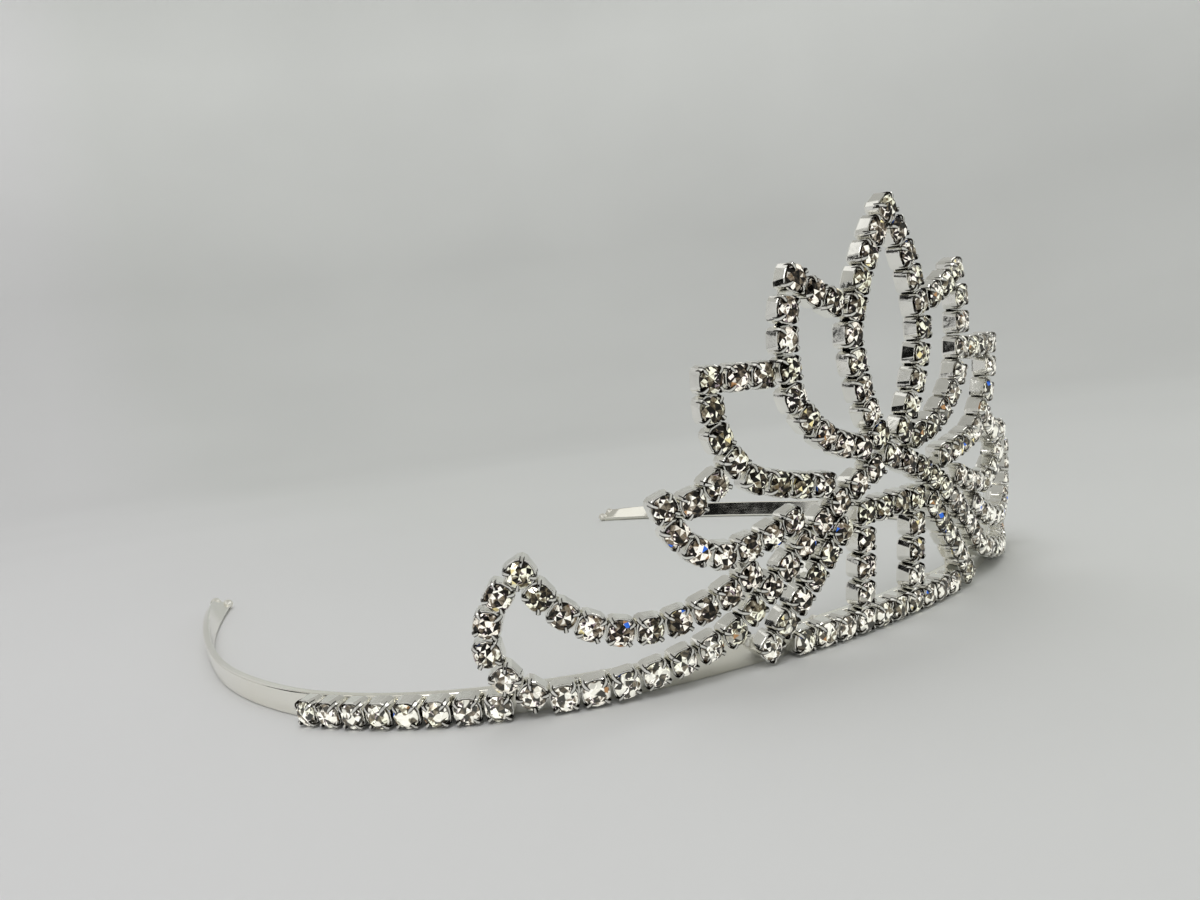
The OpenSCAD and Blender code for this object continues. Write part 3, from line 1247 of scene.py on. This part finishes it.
def add_card(name, azimuth, elevation, distance, width, height, material):
    """A dark card that only the metal mirrors, flat on the floor at elevation 0."""
    mesh = bpy.data.meshes.new(name)
    w, h = width / 2, height / 2
    corners = [(-w, -h, 0), (w, -h, 0), (w, h, 0), (-w, h, 0)]
    mesh.from_pydata(corners, [], [(0, 1, 2, 3)])
    mesh.materials.append(material)
    card = place_object(name, mesh)
    place = around_stage(azimuth, elevation, distance)
    if elevation:
        card.matrix_world = facing(place)
    else:
        flat = Matrix.Rotation(radians(azimuth), 4, "Z")
        card.matrix_world = Matrix.Translation((place.x, place.y, MM)) @ flat
    card.visible_camera = card.visible_shadow = card.visible_diffuse = False


def add_floor(colour):
    """A wide pale floor that curves up all round into its own backdrop."""
    shape = bmesh.new()
    rings = []
    for step in range(BEND_STEPS, -1, -1):
        angle = pi / 2 * step / BEND_STEPS
        radius = FLOOR_REACH + FLOOR_BEND * sin(angle)
        height = FLOOR_BEND * (1 - cos(angle)) - FLOOR_DEPTH
        rings.append(circle(shape, FLOOR_SIDES, radius, height))
    bridge_rings(shape, rings, close_first=False)
    floor = shape_object("floor", shape)
    floor.data.materials.append(pale_cloth(colour))


def add_sky(strength):
    """A plain world: pale overhead and grey lower down."""
    world = bpy.data.worlds.new("studio")
    world.use_nodes = True
    tree = world.node_tree
    place = add_node(tree, "ShaderNodeTexCoord", out="Generated")
    sky = ramp(tree, axis(tree, place, "Z"), SKY)
    fill(tree, tree.nodes["Background"], {"Color": sky, "Strength": strength})
    bpy.context.scene.world = world


def add_camera(lens):
    """The camera where the photograph was taken from."""
    data = bpy.data.cameras.new("camera")
    data.sensor_fit = "HORIZONTAL"
    data.sensor_width = 36.0
    data.lens = lens
    data.clip_start, data.clip_end = 0.005, 20.0
    azimuth, fall, roll = (radians(angle) for angle in CAMERA_TURN)
    level = Vector((cos(azimuth), -sin(azimuth), 0))
    forward = UP.cross(level) * cos(fall) - UP * sin(fall)
    upward = level.cross(forward)
    right = level * cos(roll) + upward * sin(roll)
    up = upward * cos(roll) - level * sin(roll)
    turn = Matrix((right, up, -forward)).transposed().to_4x4()
    camera = place_object("camera", data)
    camera.matrix_world = Matrix.Translation(CAMERA_PLACE * MM) @ turn
    bpy.context.scene.camera = camera


class TIARA_OT_add_stage(bpy.types.Operator):
    """Adds the pale floor, the soft lights and the camera."""

    bl_idname = "tiara.add_stage"
    bl_label = "Stage"

    def execute(self, context):
        stage = context.scene.tiara_stage
        add_floor(stage.floor_colour)
        add_sky(stage.sky_strength)
        for *place, share in CLOTH_LIGHTS:
            add_softbox(*place, stage.overhead_power * share, mirrored=False)
        for light in MIRRORED_LIGHTS:
            add_softbox(*light, mirrored=True)
        black = card_black()
        for card in CARDS:
            add_card(*card, black)
        add_camera(stage.lens)
        context.scene.view_settings.view_transform = "Standard"
        return {"FINISHED"}


class TIARA_PT_panel(bpy.types.Panel):
    """Lists the tiara's pieces and settings."""

    bl_idname = "TIARA_PT_panel"
    bl_label = "Tiara"
    bl_space_type = "VIEW_3D"
    bl_region_type = "UI"
    bl_category = "Tiara"

    def draw(self, context):
        scene, layout = context.scene, self.layout
        for settings in (scene.tiara_sizes, scene.tiara_finishes, scene.tiara_stage):
            box = layout.box()
            for key in settings.__annotations__:
                box.prop(settings, key)
        for operator in OPERATORS:
            layout.operator(operator.bl_idname)


OPERATORS = (
    TIARA_OT_add_stage,
    TIARA_OT_add_headband,
    TIARA_OT_add_end_balls,
    TIARA_OT_add_solder,
    TIARA_OT_add_petals,
    TIARA_OT_add_arch,
    TIARA_OT_add_rows,
)
CLASSES = (TiaraSizes, TiaraFinishes, TiaraStage, *OPERATORS, TIARA_PT_panel)


def register():
    """Registers the classes and the scene's settings."""
    for cls in CLASSES:
        bpy.utils.register_class(cls)
    scene = bpy.types.Scene
    scene.tiara_sizes = bpy.props.PointerProperty(type=TiaraSizes)
    scene.tiara_finishes = bpy.props.PointerProperty(type=TiaraFinishes)
    scene.tiara_stage = bpy.props.PointerProperty(type=TiaraStage)


def unregister():
    """Takes the classes and settings away."""
    scene = bpy.types.Scene
    del scene.tiara_stage, scene.tiara_finishes, scene.tiara_sizes
    for cls in reversed(CLASSES):
        bpy.utils.unregister_class(cls)


def main():
    """Builds the tiara and its stage."""
    register()
    bpy.ops.tiara.add_stage()
    bpy.ops.tiara.add_headband()
    bpy.ops.tiara.add_end_balls()
    bpy.ops.tiara.add_solder()
    bpy.ops.tiara.add_petals()
    bpy.ops.tiara.add_arch()
    bpy.ops.tiara.add_rows()


if __name__ == "__main__":
    main()
